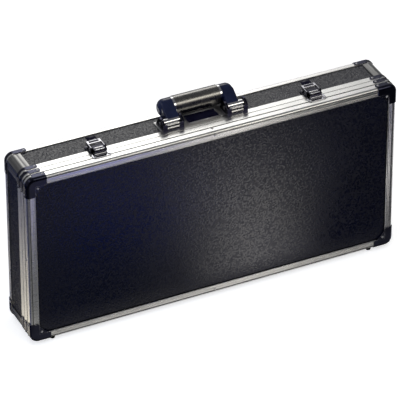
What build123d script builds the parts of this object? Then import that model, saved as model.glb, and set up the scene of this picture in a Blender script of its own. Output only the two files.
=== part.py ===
from build123d import *
import math
import os

# Carrying case for guitar effect pedals, standing on its hinge side with the handle on top.
# X runs along the length, Y from the lid's face (-Y) to the base's back (+Y), Z up.
# The origin is under the middle of the case, on the surface that its feet stand on.
# Sizes are in millimetres. Depths are measured from the lid's outer face towards the back,
# heights over the case from its handle side, and insets from its outer faces inwards.

# ---- driving dimensions: the box ----
case_length = 690.0
case_height = 330.0
case_depth = 96.0
lid_depth = 28.0
parting_gap = 0.4
corner_radius = 14.0
edge_round = 5.0
foot_height = 6.5

# ---- boards and aluminium sections ----
board_thickness = 6.0
alu_wall = 1.6
inner_leg_wall = 1.2
inner_leg_depth = 10.0
mouth_edge_round = 0.7
front_flange = 15.0
edge_band = 14.3
edge_joint_gap = 2.2
back_flange = 15.0
back_band = 12.0
base_rim_band = 11.6
post_flange = 24.0
post_web = 1.2
board_end_clearance = 0.2
flange_groove_width = 1.6
flange_groove_depth = 0.6
flange_groove_insets = (3.6, 8.6, 11.4)

# ---- pressed corners, rim brackets and rivets ----
cap_sheet = 1.2
cap_leg = 36.0
cap_leg_width = 13.0
cap_web = 24.0
cap_web_chamfer = 3.0
cap_side_depth = 8.0
cap_tab_length = 37.0
cap_tab_width = 8.6
cap_tab_margin = 0.7
back_cap_tab_width = 6.5
bracket_sheet = 1.0
bracket_strip = 5.0
bracket_tab_length = 34.0
bracket_tab_width = 8.4
bracket_edge_margin = 0.5
rivet_radius = 2.3
rivet_dome = 1.1
rivet_end_margin = 5.0
rivet_edge_margin = 1.2

# ---- rubber feet ----
foot_radius = 4.6
foot_round = 1.6
foot_from_end = 42.0
lid_foot_margin = 0.4
base_foot_from_back = 20.0

# ---- hinges on the hinge side ----
hinge_from_middle = 200.0
hinge_length = 60.0
hinge_leaf = 14.0
hinge_sheet = 1.2
knuckle_radius = 2.4
knuckle_clearance = 0.3
hinge_pin_radius = 1.2
running_clearance = 0.05
leaf_cut_clearance = 0.4

# ---- draw latches ----
latch_from_middle = 201.0
latch_width = 33.0
latch_sheet = 1.2
latch_mouth_margin = 0.8
latch_base_length = 23.8
latch_corner = 3.0
ear_length = 11.0
ear_above_pivot = 4.0
lever_width = 25.2
lever_side_clearance = 0.4
lever_pivot_inset = 6.3
lever_pin_radius = 1.6
lever_nose = 3.6
lever_floor_clearance = 0.6
lever_rise = 3.8
lever_length = 18.5
link_arm = 6.0
link_pin_rise = 0.2
link_pin_radius = 1.2
link_eye_radius = 2.3
lever_web_clearance = 1.7
hook_side_clearance = 1.4
hook_sheet = 1.3
hook_rise = 3.0
hook_reach = 21.9
tongue_width = 11.0
tab_wall = 1.0
tab_length = 13.0
tab_thickness = 5.0
tab_clearance = 0.6
tab_round = 2.2
keeper_length = 15.5
keeper_end_gap = 0.5
keeper_corner = 4.0
keeper_lip_width = 22.0
keeper_lip_length = 4.4
keeper_lip_height = 4.0
keeper_lip_lead = 0.2
keeper_lip_slope = 1.2
hook_clearance = 0.35

# ---- handle ----
handle_pivot_behind_rim = 8.0
handle_pivot_height = 10.0
grip_behind_pivot = 30.5
grip_clearance = 1.2
grip_radius = 17.4
grip_half_length = 41.0
ferrule_width = 4.0
ferrule_step = 0.7
arm_width = 24.5
arm_step = 1.0
arm_web_inset = 2.0
arm_neck_step = 0.6
barrel_radius = 7.0
barrel_overhang = 4.9
handle_pin_radius = 2.5
handle_pin_head_radius = 3.6
handle_pin_head = 1.2
cheek_sheet = 3.6
cheek_side_clearance = 1.0
cheek_ahead = 12.0
cheek_behind = 18.0
cheek_above_pivot = 9.5
cheek_front_height = 13.0
cheek_shoulder_lead = 6.5
cheek_shoulder_drop = 2.5
front_fold_width = 8.0
front_fold_sheet = 1.6
front_fold_drop = 0.5
cheek_top_lead = 1.0
cheek_top_back = 6.0
cheek_slope_back = 11.0
bracket_floor = 1.6
front_bar_radius = 1.7
front_bar_clearance = 0.9
front_bar_height = 4.6
plate_back_margin = 6.0
plate_end_margin = 2.0
plate_corner = 2.0
label_length = 58.0
label_width = 25.0
label_sheet = 0.6
label_margin = 2.6
label_corner = 1.0

# ---- foam lining ----
foam_clearance = 0.3
foam_wall = 10.0
lid_foam_thickness = 10.5

# ---- places worked out from the sizes above ----
top = foot_height + case_height
middle_height = foot_height + case_height / 2
half_length = case_length / 2
base_start = lid_depth + parting_gap
base_rim_end = base_start + base_rim_band
back_band_start = case_depth - back_band
lid_rim_start = edge_band + edge_joint_gap
board_inner = alu_wall + board_thickness
leg_inner = board_inner + inner_leg_wall
board_end = corner_radius + board_end_clearance
lid_panel_back = alu_wall + board_thickness
back_panel_front = case_depth - alu_wall - board_thickness
foam_inset = leg_inner + foam_clearance
foam_bed_front = back_panel_front - foam_clearance - foam_wall
cap_tab_start = edge_band - cap_tab_width - cap_tab_margin
foot_from_middle = half_length - foot_from_end
lid_foot_depth = edge_band - foot_radius - lid_foot_margin
base_foot_depth = case_depth - base_foot_from_back
hinge_axis_height = foot_height - knuckle_radius - knuckle_clearance
hinge_axis_depth = lid_depth + parting_gap / 2
hinge_leaf_edge = knuckle_radius + leaf_cut_clearance
latch_base_start = base_start + latch_mouth_margin
latch_base_end = latch_base_start + latch_base_length
lever_pivot_depth = latch_base_start + lever_pivot_inset
lever_pivot_height = latch_sheet + lever_floor_clearance + lever_nose
lever_half = lever_width / 2
lever_top = lever_pivot_height + lever_rise
lever_back = lever_pivot_depth + lever_length
ear_inner = lever_half + lever_side_clearance
ear_height = lever_pivot_height + ear_above_pivot
link_pin_depth = lever_pivot_depth + link_arm
link_pin_height = lever_pivot_height + link_pin_rise
lever_web_start = link_pin_depth + link_eye_radius + lever_web_clearance
hook_width = lever_width - 2 * latch_sheet - 2 * hook_side_clearance
hook_crown = link_pin_height + hook_rise
hook_nose_depth = link_pin_depth - hook_reach
keeper_end = lid_depth - keeper_end_gap
keeper_start = keeper_end - keeper_length
tab_width = tongue_width + 2 * tab_wall
tab_start = lever_back + tab_clearance
handle_pivot_depth = base_rim_end + handle_pivot_behind_rim
grip_depth = handle_pivot_depth + grip_behind_pivot
grip_height = grip_clearance + grip_radius
arm_inner = grip_half_length + ferrule_width
arm_outer = arm_inner + arm_width
arm_end_radius = grip_radius - arm_step
arm_dome = 0.74 * arm_end_radius
arm_web_round = 0.5 * barrel_radius
barrel_outer = arm_outer + barrel_overhang
cheek_inner = arm_inner - cheek_side_clearance - cheek_sheet
cheek_outer = barrel_outer + cheek_side_clearance + cheek_sheet
barrel_inner = cheek_inner + cheek_sheet + cheek_side_clearance
bracket_front = handle_pivot_depth - cheek_ahead
bracket_back = handle_pivot_depth + cheek_behind
bracket_height = handle_pivot_height + cheek_above_pivot
front_bar_depth = handle_pivot_depth - barrel_radius - front_bar_clearance - front_bar_radius
plate_back = bracket_back + plate_back_margin
overshoot = 20.0


def y_at(depth):
    """Y of a depth measured from the lid's outer face."""
    return depth - case_depth / 2


def z_over(height):
    """Z of a height measured up from the case's handle side."""
    return top + height


def box_between(x0, x1, depth0, depth1, z0, z1):
    """Plain block between two corners."""
    block = Box(x1 - x0, depth1 - depth0, z1 - z0)
    centre = ((x0 + x1) / 2, (y_at(depth0) + y_at(depth1)) / 2, (z0 + z1) / 2)
    return Pos(*centre) * block


def front_plane(depth, z=0.0):
    """Upright plane across the case: its own x is X, its own y is Z, and it faces the lid's side."""
    return Plane(origin=(0, y_at(depth), z), x_dir=(1, 0, 0), z_dir=(0, -1, 0))


def upright_block(outline, depth0, depth1):
    """Block of an outline drawn about the middle of the case's face, between two depths."""
    face = front_plane(depth1, middle_height) * outline
    return extrude(face, amount=depth1 - depth0, dir=(0, -1, 0))


def side_profile(points):
    """Face in the YZ plane from (depth, z) points."""
    flat = [Vector(0, y_at(depth), z) for depth, z in points]
    return make_face(Polyline(*flat, close=True))


def along_x(face, x0, x1):
    """Bar of a YZ face between two X stations."""
    return Pos(x0, 0, 0) * extrude(face, amount=x1 - x0, dir=(1, 0, 0))


def rod_x(radius, x0, x1, depth, z):
    """Round bar along X."""
    bar = Rot(0, 90, 0) * Cylinder(radius, x1 - x0)
    return Pos((x0 + x1) / 2, y_at(depth), z) * bar


def case_block(inset, depth0, depth1, front_round=0.0, back_round=0.0):
    """Block of the case's rounded outline, inset on its four sides, between two depths."""
    radius = max(corner_radius - inset, 1.0)
    outline = RectangleRounded(case_length - 2 * inset, case_height - 2 * inset, radius)
    block = upright_block(outline, depth0, depth1)
    if front_round > 0:
        block = fillet(block.edges().group_by(Axis.Y)[0], front_round)
    if back_round > 0:
        block = fillet(block.edges().group_by(Axis.Y)[-1], back_round)
    return block


def case_ring(outer_inset, inner_inset, depth0, depth1):
    """Ring between two insets of the case's outline."""
    hole = case_block(inner_inset, depth0 - 1, depth1 + 1)
    return case_block(outer_inset, depth0, depth1) - hole


def mitre_wedges():
    """Four upright wedges that part a frame into top, bottom, left and right lengths at 45 degrees."""
    reach_x = half_length + overshoot
    reach_z = case_height / 2 + overshoot
    apex_x = reach_x - reach_z
    upper = Polygon((-reach_x, reach_z), (reach_x, reach_z), (apex_x, 0), (-apex_x, 0), align=None)
    side = Polygon((reach_x, reach_z), (reach_x, -reach_z), (apex_x, 0), align=None)
    top_wedge = upright_block(upper, -overshoot, case_depth + overshoot)
    right_wedge = upright_block(side, -overshoot, case_depth + overshoot)
    bottom_wedge = Pos(0, 0, 2 * middle_height) * mirror(top_wedge, about=Plane.XY)
    left_wedge = mirror(right_wedge, about=Plane.YZ)
    return [top_wedge, bottom_wedge, left_wedge, right_wedge]


def mitred(frame):
    """The four separate lengths of a frame."""
    return Compound(children=[solid for wedge in mitre_wedges() for solid in (frame & wedge).solids()])


def both_sides(solid):
    """A solid and its mirror image across the middle of the length."""
    return Compound(children=[*mirror(solid, about=Plane.YZ).solids(), *solid.solids()])


def upside_down(solid):
    """Mirror image across the middle of the height."""
    return Pos(0, 0, 2 * middle_height) * mirror(solid, about=Plane.XY)


def four_corners(solid):
    """Copies of a piece of the upper right corner for the four corners, by name."""
    lower = upside_down(solid)
    return {
        "top_left": mirror(solid, about=Plane.YZ),
        "top_right": solid,
        "bottom_left": mirror(lower, about=Plane.YZ),
        "bottom_right": lower,
    }


# ---- boards ----
def side_boards(depth0, depth1):
    """Top, bottom, left and right boards behind the aluminium, between the corner posts."""
    x_end = half_length - board_end
    z_low = foot_height + board_end
    z_high = top - board_end
    top_board = box_between(-x_end, x_end, depth0, depth1, top - board_inner, top - alu_wall)
    right_board = box_between(half_length - board_inner, half_length - alu_wall, depth0, depth1, z_low, z_high)
    return {
        "top": top_board,
        "bottom": upside_down(top_board),
        "left": mirror(right_board, about=Plane.YZ),
        "right": right_board,
    }


def lid_panel():
    """The lid's large board, under the edge section's flange."""
    return case_block(edge_round, alu_wall, lid_panel_back)


def back_panel():
    """The base's large back board."""
    return case_block(edge_round, back_panel_front, case_depth - alu_wall)


# ---- aluminium sections ----
def flange_grooves():
    """Fine grooves that run round the face of a flange."""
    grooves = []
    for inset in flange_groove_insets:
        grooves.append(case_ring(inset, inset + flange_groove_width, -1, flange_groove_depth))
    return grooves


def lid_edge_frame():
    """Edge section round the lid's face: a grooved flange, a rounded corner and a side band."""
    frame = case_block(0, 0, edge_band, front_round=edge_round)
    frame -= case_block(alu_wall, alu_wall, edge_band + 1, front_round=edge_round - alu_wall)
    frame -= case_block(front_flange, -1, edge_band)
    for groove in flange_grooves():
        frame -= groove
    return mitred(frame)


def back_frame():
    """Edge section round the base's back."""
    frame = case_block(0, back_band_start, case_depth, back_round=edge_round)
    frame -= case_block(alu_wall, back_band_start - 1, case_depth - alu_wall, back_round=edge_round - alu_wall)
    frame -= case_block(back_flange, back_band_start, case_depth + 1)
    return mitred(frame)


def rim_channel(mouth, band_end, leg_end):
    """Channel over the boards' edges; its web lies at the mouth, where lid and base meet."""
    inwards = 1 if band_end > mouth else -1
    web_end = mouth + inwards * alu_wall
    band = case_ring(0, alu_wall, min(mouth, band_end), max(mouth, band_end))
    web = case_ring(0, leg_inner, min(mouth, web_end), max(mouth, web_end))
    leg = case_ring(board_inner, leg_inner, min(mouth, leg_end), max(mouth, leg_end))
    front_round, back_round = (mouth_edge_round, 0) if inwards > 0 else (0, mouth_edge_round)
    outside = case_block(0, min(mouth, band_end), max(mouth, band_end), front_round, back_round)
    return mitred((band + web + leg) & outside)


def corner_post():
    """Rounded corner section of the base with a slot for each board, at the upper right."""
    depth0 = base_rim_end
    depth1 = back_band_start
    corner_x = half_length
    reach = box_between(corner_x - post_flange, corner_x + 1, depth0, depth1, top - post_flange, top + 1)
    skin = case_ring(0, alu_wall, depth0, depth1) & reach
    leg = box_between(corner_x - post_flange, corner_x - board_inner, depth0, depth1,
                      top - post_flange, top - board_inner)
    leg -= box_between(corner_x - post_flange - 1, corner_x - leg_inner, depth0 - 1, depth1 + 1,
                       top - post_flange - 1, top - leg_inner)
    web_outer = corner_radius - post_web
    upright = box_between(corner_x - corner_radius, corner_x - web_outer, depth0, depth1,
                          top - board_inner - inner_leg_wall / 2, top)
    level = box_between(corner_x - board_inner - inner_leg_wall / 2, corner_x, depth0, depth1,
                        top - corner_radius, top - web_outer)
    inside = case_block(alu_wall / 2, depth0, depth1)
    return skin + leg + (upright & inside) + (level & inside)


# ---- pressed corners and rim brackets ----
def cap_outline():
    """Face outline of a pressed corner: two legs and the web between them."""
    x = half_length + overshoot
    z = case_height / 2 + overshoot
    leg_x = half_length - cap_leg
    leg_z = case_height / 2 - cap_leg
    points = [
        (x, z),
        (leg_x, z),
        (leg_x, case_height / 2 - cap_leg_width),
        (half_length - cap_web, case_height / 2 - cap_web + cap_web_chamfer),
        (half_length - cap_web + cap_web_chamfer, case_height / 2 - cap_web),
        (half_length - cap_leg_width, leg_z),
        (x, leg_z),
    ]
    return Polygon(*points, align=None)


def side_tab(depth0, depth1, reach, sheet):
    """Round-ended tab on the handle side of the upper right corner, and its twin on the end."""
    centre_x = half_length - reach + (depth1 - depth0) / 2
    radius = (depth1 - depth0) / 2
    strip = box_between(centre_x, half_length - corner_radius + 1, depth0, depth1, top - 1, top + sheet + 1)
    nose = Pos(centre_x, y_at((depth0 + depth1) / 2), top) * Cylinder(radius, 2 * (sheet + 1))
    tab = strip + nose
    return tab + swap_sides(tab)


def swap_sides(solid):
    """Turn a piece on the handle side into its twin on the right-hand end."""
    corner = Plane(origin=(half_length, 0, top), z_dir=(1, 0, -1))
    return mirror(solid, about=corner)


def lid_ball_corner():
    """Pressed steel corner over the lid's upper right corner."""
    sheet = case_block(-cap_sheet, -cap_sheet, edge_band, front_round=edge_round + cap_sheet)
    sheet -= case_block(0, 0, edge_band + 1, front_round=edge_round)
    face = upright_block(cap_outline(), -overshoot, cap_side_depth)
    tabs = side_tab(cap_tab_start, cap_tab_start + cap_tab_width, cap_tab_length, cap_sheet)
    return sheet & (face + tabs)


def base_ball_corner():
    """Pressed steel corner over the base's upper right back corner."""
    front = back_band_start
    sheet = case_block(-cap_sheet, front, case_depth + cap_sheet, back_round=edge_round + cap_sheet)
    sheet -= case_block(0, front - 1, case_depth, back_round=edge_round)
    face = upright_block(cap_outline(), case_depth - cap_side_depth, case_depth + overshoot)
    tabs = side_tab(front, front + back_cap_tab_width, cap_tab_length, cap_sheet)
    return sheet & (face + tabs)


def rim_bracket(strip0, strip1, tab0, tab1):
    """Riveted bracket round a rim's upper right corner: a strip round the bend and two tabs."""
    depth0 = min(strip0, tab0)
    depth1 = max(strip1, tab1)
    sheet = case_ring(-bracket_sheet, 0, depth0, depth1)
    strip = box_between(half_length - corner_radius - 6, half_length + 5, strip0, strip1,
                        top - corner_radius - 6, top + 5)
    tabs = side_tab(tab0, tab1, bracket_tab_length, bracket_sheet)
    return sheet & (strip + tabs)


def lid_bracket_depths():
    """Strip and tab of the lid's rim bracket."""
    strip1 = lid_depth - bracket_edge_margin
    tab1 = strip1 - bracket_edge_margin
    return strip1 - bracket_strip, strip1, tab1 - bracket_tab_width, tab1


def base_bracket_depths():
    """Strip and tab of the base's rim bracket."""
    tab1 = base_rim_end - bracket_edge_margin
    return tab1 - bracket_strip, tab1, tab1 - bracket_tab_width, tab1


# ---- rivets ----
def dome(x, depth, z, direction):
    """Domed rivet head that stands on a face and points in a direction."""
    ball_radius = (rivet_radius**2 + rivet_dome**2) / (2 * rivet_dome)
    ball = Pos(0, 0, rivet_dome - ball_radius) * Sphere(ball_radius)
    cap = ball & Pos(0, 0, rivet_dome) * Box(4 * rivet_radius, 4 * rivet_radius, 2 * rivet_dome)
    place = Plane(origin=(x, y_at(depth), z), z_dir=direction)
    return place * cap


def on_both_faces(x, depth, raised):
    """Rivets on the handle side of the upper right corner and on its right-hand end."""
    upper = dome(x, depth, top + raised, (0, 0, 1))
    return [upper, swap_sides(upper)]


def all_corners(heads):
    """The rivets of one corner, repeated at all four."""
    corners = []
    for head in heads:
        corners += list(four_corners(head).values())
    return corners


def around_frame(depth):
    """One rivet in the middle of each side, on the outer faces."""
    upper = dome(0, depth, top, (0, 0, 1))
    right = dome(half_length, depth, middle_height, (1, 0, 0))
    return [upper, upside_down(upper), right, mirror(right, about=Plane.YZ)]


def lid_rivets():
    """Rivets of the lid's pressed corners, rim brackets and edge section."""
    tab_x = half_length - cap_tab_length + rivet_end_margin
    bracket_x = half_length - bracket_tab_length + rivet_end_margin
    strip0, strip1, tab0, tab1 = lid_bracket_depths()
    heads = on_both_faces(tab_x, cap_tab_start + cap_tab_width / 2, cap_sheet)
    heads += on_both_faces(bracket_x, (tab0 + tab1) / 2, bracket_sheet)
    web = cap_web - rivet_end_margin
    heads.append(dome(half_length - web, -cap_sheet, top - web, (0, -1, 0)))
    rivets = all_corners(heads)
    flange_middle = (flange_groove_insets[0] + flange_groove_width + flange_groove_insets[1]) / 2
    rivets.append(dome(0, 0, top - flange_middle, (0, -1, 0)))
    rivets.append(dome(0, 0, foot_height + flange_middle, (0, -1, 0)))
    rivets.append(dome(half_length - flange_middle, 0, middle_height, (0, -1, 0)))
    rivets.append(dome(flange_middle - half_length, 0, middle_height, (0, -1, 0)))
    rivets += around_frame(edge_band - rivet_radius)
    return Compound(children=rivets)


def base_rivets():
    """Rivets of the base's pressed corners, rim brackets and edge sections."""
    tab_x = half_length - cap_tab_length + rivet_end_margin
    bracket_x = half_length - bracket_tab_length + rivet_end_margin
    strip0, strip1, tab0, tab1 = base_bracket_depths()
    heads = on_both_faces(tab_x, back_band_start + back_cap_tab_width / 2, cap_sheet)
    heads += on_both_faces(bracket_x, (tab0 + tab1) / 2, bracket_sheet)
    web = cap_web - rivet_end_margin
    heads.append(dome(half_length - web, case_depth + cap_sheet, top - web, (0, 1, 0)))
    rivets = all_corners(heads)
    rivets += around_frame(back_band_start + rivet_radius + rivet_edge_margin)[1:]
    return Compound(children=rivets)


# ---- feet ----
def foot(depth, height):
    """Round rubber foot, rounded where it meets the ground."""
    post = Pos(foot_from_middle, y_at(depth), height / 2) * Cylinder(foot_radius, height)
    return fillet(post.edges().group_by(Axis.Z)[0], foot_round)


# ---- hinges ----
def hinge_leaf_with_knuckles(depth_edge, knuckle_spans, away):
    """Leaf on the hinge side with its knuckles round the pin."""
    x0 = hinge_from_middle - hinge_length / 2
    x1 = hinge_from_middle + hinge_length / 2
    leaf = box_between(x0, x1, min(depth_edge, depth_edge + away * hinge_leaf),
                       max(depth_edge, depth_edge + away * hinge_leaf), foot_height - hinge_sheet, foot_height)
    for start, end in knuckle_spans:
        neck = box_between(start, end, min(hinge_axis_depth, depth_edge), max(hinge_axis_depth, depth_edge),
                           foot_height - hinge_sheet, foot_height - parting_gap / 2)
        leaf += neck
        leaf += rod_x(knuckle_radius, start, end, hinge_axis_depth, hinge_axis_height)
    bore = rod_x(hinge_pin_radius + running_clearance, x0 - 1, x1 + 1, hinge_axis_depth, hinge_axis_height)
    return leaf - bore


def hinge_spans():
    """X stretches of the base's two knuckles and of the lid's one between them."""
    x0 = hinge_from_middle - hinge_length / 2
    third = hinge_length / 3
    base_spans = [(x0, x0 + third), (x0 + 2 * third, x0 + 3 * third)]
    lid_spans = [(x0 + third + knuckle_clearance, x0 + 2 * third - knuckle_clearance)]
    return base_spans, lid_spans


def hinge_pin():
    """Pin through the three knuckles."""
    half = hinge_length / 2
    return rod_x(hinge_pin_radius, hinge_from_middle - half, hinge_from_middle + half,
                 hinge_axis_depth, hinge_axis_height)


# ---- draw latches, made at the right and mirrored ----
def round_plate(x_middle, width, depth0, depth1, thickness, corner, base=0.0):
    """Flat plate on the handle side with rounded corners."""
    outline = RectangleRounded(width, depth1 - depth0, corner)
    return Pos(x_middle, y_at((depth0 + depth1) / 2), z_over(base)) * extrude(outline, amount=thickness)


def latch_base():
    """Base plate with two ears for the lever; a pad fills the step down to the board."""
    x = latch_from_middle
    plate = round_plate(x, latch_width, latch_base_start, latch_base_end, latch_sheet, latch_corner)
    pad = round_plate(x, latch_width, base_rim_end, latch_base_end, alu_wall, latch_corner / 2, -alu_wall)
    ear0 = lever_pivot_depth - ear_length / 2
    ear1 = lever_pivot_depth + ear_length / 2
    ear = box_between(x + ear_inner, x + ear_inner + latch_sheet, ear0, ear1, z_over(0), z_over(ear_height))
    ear = fillet(ear.edges().filter_by(Axis.X).group_by(Axis.Z)[-1], ear_length * 0.36)
    twin = Pos(-2 * ear_inner - latch_sheet, 0, 0) * ear
    holes = rod_x(lever_pin_radius, x - latch_width, x + latch_width, lever_pivot_depth, z_over(lever_pivot_height))
    return plate + pad + (ear - holes) + (twin - holes)


def latch_pivots():
    """Two rivets on which the lever turns, one through each ear."""
    x = latch_from_middle
    z = z_over(lever_pivot_height)
    inner = x + lever_half - latch_sheet - lever_side_clearance / 2
    outer = x + ear_inner + latch_sheet
    pin = rod_x(lever_pin_radius, inner, outer, lever_pivot_depth, z)
    head = rod_x(lever_pin_radius * 1.5, outer, outer + latch_sheet * 0.7, lever_pivot_depth, z)
    rivet = pin + head
    twin = Pos(2 * x, 0, 0) * mirror(rivet, about=Plane.YZ)
    return [rivet, twin]


def latch_lever():
    """Lever: two cheeks joined by a web at the back, with a tongue for the thumb tab."""
    x = latch_from_middle
    nose_low = z_over(lever_pivot_height - lever_nose)
    points = [
        (lever_pivot_depth - lever_nose, nose_low + lever_nose),
        (lever_pivot_depth - lever_nose * 0.3, nose_low),
        (lever_back - 5, nose_low + 1.2),
        (lever_back, z_over(lever_top - latch_sheet - 2)),
        (lever_back, z_over(lever_top)),
        (link_pin_depth, z_over(lever_top)),
        (lever_pivot_depth - lever_nose * 0.7, z_over(lever_pivot_height + lever_nose)),
    ]
    cheek = along_x(side_profile(points), x + lever_half - latch_sheet, x + lever_half)
    twin = Pos(latch_sheet - lever_width, 0, 0) * cheek
    web = box_between(x - lever_half, x + lever_half, lever_web_start, lever_back,
                      z_over(lever_top - latch_sheet), z_over(lever_top))
    tongue = box_between(x - tongue_width / 2, x + tongue_width / 2, lever_back - 1, tab_start + tab_length / 2,
                         z_over(lever_top - latch_sheet), z_over(lever_top))
    bores = rod_x(lever_pin_radius + running_clearance, x - lever_width, x + lever_width,
                  lever_pivot_depth, z_over(lever_pivot_height))
    link_bore = rod_x(link_pin_radius + running_clearance, x - lever_width, x + lever_width,
                      link_pin_depth, z_over(link_pin_height))
    return cheek + twin + web + tongue - bores - link_bore


def latch_thumb_tab():
    """Moulded tab pushed over the lever's tongue."""
    x = latch_from_middle
    z = z_over(lever_top - latch_sheet / 2)
    block = box_between(x - tab_width / 2, x + tab_width / 2, tab_start, tab_start + tab_length,
                        z - tab_thickness / 2, z + tab_thickness / 2)
    block = fillet(block.edges().filter_by(Axis.Z), tab_width * 0.28)
    block = fillet(block.faces().sort_by(Axis.Z)[-1].edges(), tab_round)
    slot = box_between(x - tongue_width / 2, x + tongue_width / 2, tab_start - 1, tab_start + tab_length / 2,
                       z_over(lever_top - latch_sheet), z_over(lever_top))
    return block - slot


def latch_hook():
    """Hook plate that the lever draws back, with its own pin and an eye round it."""
    x = latch_from_middle
    lip_top = keeper_lip_height + hook_clearance
    outer = [
        (link_pin_depth, z_over(link_pin_height - link_eye_radius)),
        (link_pin_depth + link_eye_radius, z_over(link_pin_height)),
        (link_pin_depth, z_over(link_pin_height + link_eye_radius)),
        (link_pin_depth - 4.5, z_over(hook_crown)),
        (hook_nose_depth + 4.2, z_over(hook_crown)),
        (hook_nose_depth + 1.2, z_over(hook_crown - 1.4)),
        (hook_nose_depth, z_over(lip_top + 1.4)),
        (hook_nose_depth, z_over(lip_top)),
        (hook_nose_depth + hook_sheet, z_over(lip_top)),
        (hook_nose_depth + hook_sheet + 0.6, z_over(hook_crown - 2.2)),
        (hook_nose_depth + 4.6, z_over(hook_crown - hook_sheet)),
        (link_pin_depth - 5.0, z_over(hook_crown - hook_sheet)),
        (link_pin_depth - link_eye_radius, z_over(link_pin_height)),
    ]
    plate = along_x(side_profile(outer), x - hook_width / 2, x + hook_width / 2)
    eye = rod_x(link_eye_radius, x - hook_width / 2, x + hook_width / 2, link_pin_depth, z_over(link_pin_height))
    pin = rod_x(link_pin_radius, x - lever_half, x + lever_half, link_pin_depth, z_over(link_pin_height))
    return plate + eye + pin


def latch_keeper():
    """Strike plate on the lid with a raised lip under the hook's nose."""
    x = latch_from_middle
    plate = round_plate(x, latch_width, keeper_start, keeper_end, latch_sheet, keeper_corner)
    lip0 = hook_nose_depth - keeper_lip_lead
    lip1 = lip0 + keeper_lip_length
    bevel = latch_sheet * 2 / 3
    points = [
        (lip0 - keeper_lip_slope, z_over(latch_sheet)),
        (lip0, z_over(keeper_lip_height - bevel)),
        (lip0 + bevel, z_over(keeper_lip_height)),
        (lip1 - bevel, z_over(keeper_lip_height)),
        (lip1, z_over(latch_sheet)),
        (lip1, z_over(latch_sheet / 2)),
        (lip0 - keeper_lip_slope, z_over(latch_sheet / 2)),
    ]
    lip = along_x(side_profile(points), x - keeper_lip_width / 2, x + keeper_lip_width / 2)
    return plate + lip


def keeper_rivets():
    """Two rivets through each strike plate."""
    off = latch_width / 2 - rivet_radius - rivet_edge_margin
    depth = keeper_start + rivet_radius + rivet_edge_margin
    pair = [dome(latch_from_middle + side * off, depth, z_over(latch_sheet), (0, 0, 1)) for side in (-1, 1)]
    return pair + [mirror(head, about=Plane.YZ) for head in pair]


# ---- handle ----
def handle_plate():
    """Steel plate let in behind the rim, under both brackets and the label."""
    outline = RectangleRounded(2 * (cheek_outer + plate_end_margin), plate_back - base_rim_end, plate_corner)
    place = Pos(0, y_at((base_rim_end + plate_back) / 2), z_over(-alu_wall))
    return place * extrude(outline, amount=alu_wall)


def label_plate():
    """Bare plate on the middle of the handle plate."""
    front = base_rim_end + label_margin
    return round_plate(0, label_length, front, front + label_width, label_sheet, label_corner)


def handle_bracket():
    """Bracket on the right: a floor, two cheeks with folded front edges and a hole for the pin, and a bar."""
    x0 = cheek_inner
    x1 = cheek_outer
    points = [
        (bracket_front, z_over(0)),
        (bracket_front, z_over(cheek_front_height)),
        (handle_pivot_depth - cheek_shoulder_lead, z_over(bracket_height - cheek_shoulder_drop)),
        (handle_pivot_depth - cheek_top_lead, z_over(bracket_height)),
        (handle_pivot_depth + cheek_top_back, z_over(bracket_height)),
        (handle_pivot_depth + cheek_slope_back, z_over(bracket_height - cheek_top_back)),
        (bracket_back, z_over(bracket_floor)),
        (bracket_back, z_over(0)),
    ]
    cheek = along_x(side_profile(points), x0, x0 + cheek_sheet)
    far_cheek = Pos(x1 - x0 - cheek_sheet, 0, 0) * cheek
    floor = box_between(x0, x1, bracket_front, bracket_back, z_over(0), z_over(bracket_floor))
    bar = rod_x(front_bar_radius, x0 + cheek_sheet / 2, x1 - cheek_sheet / 2, front_bar_depth,
                z_over(front_bar_height))
    fold_back = bracket_front + front_fold_sheet
    fold_top = z_over(cheek_front_height - front_fold_drop)
    fold = box_between(x0, x0 + front_fold_width, bracket_front, fold_back, z_over(0), fold_top)
    far_fold = box_between(x1 - front_fold_width, x1, bracket_front, fold_back, z_over(0), fold_top)
    hole = rod_x(handle_pin_radius, x0 - 1, x1 + 1, handle_pivot_depth, z_over(handle_pivot_height))
    return cheek + far_cheek + floor + bar + fold + far_fold - hole


def handle_pin():
    """Pin through the right bracket, with a head at each end."""
    z = z_over(handle_pivot_height)
    pin = rod_x(handle_pin_radius, cheek_inner, cheek_outer, handle_pivot_depth, z)
    left_head = rod_x(handle_pin_head_radius, cheek_inner - handle_pin_head, cheek_inner, handle_pivot_depth, z)
    right_head = rod_x(handle_pin_head_radius, cheek_outer, cheek_outer + handle_pin_head, handle_pivot_depth, z)
    return pin + left_head + right_head


def handle_barrel():
    """Tube that turns on the pin inside the right bracket."""
    z = z_over(handle_pivot_height)
    tube = rod_x(barrel_radius, barrel_inner, barrel_outer, handle_pivot_depth, z)
    bore = rod_x(handle_pin_radius + running_clearance, barrel_inner - 1, barrel_outer + 1, handle_pivot_depth, z)
    return tube - bore


def tangent_points(centre_a, radius_a, centre_b, radius_b):
    """Ends of the two outer tangents of two circles, as (a upper, b upper, b lower, a lower)."""
    dx = centre_b[0] - centre_a[0]
    dz = centre_b[1] - centre_a[1]
    reach = math.hypot(dx, dz)
    heading = math.atan2(dz, dx)
    spread = math.acos((radius_a - radius_b) / reach)
    ends = []
    for centre, radius, side in (
        (centre_a, radius_a, 1),
        (centre_b, radius_b, 1),
        (centre_b, radius_b, -1),
        (centre_a, radius_a, -1),
    ):
        turn = heading + side * spread
        ends.append((centre[0] + radius * math.cos(turn), centre[1] + radius * math.sin(turn)))
    return ends


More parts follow.
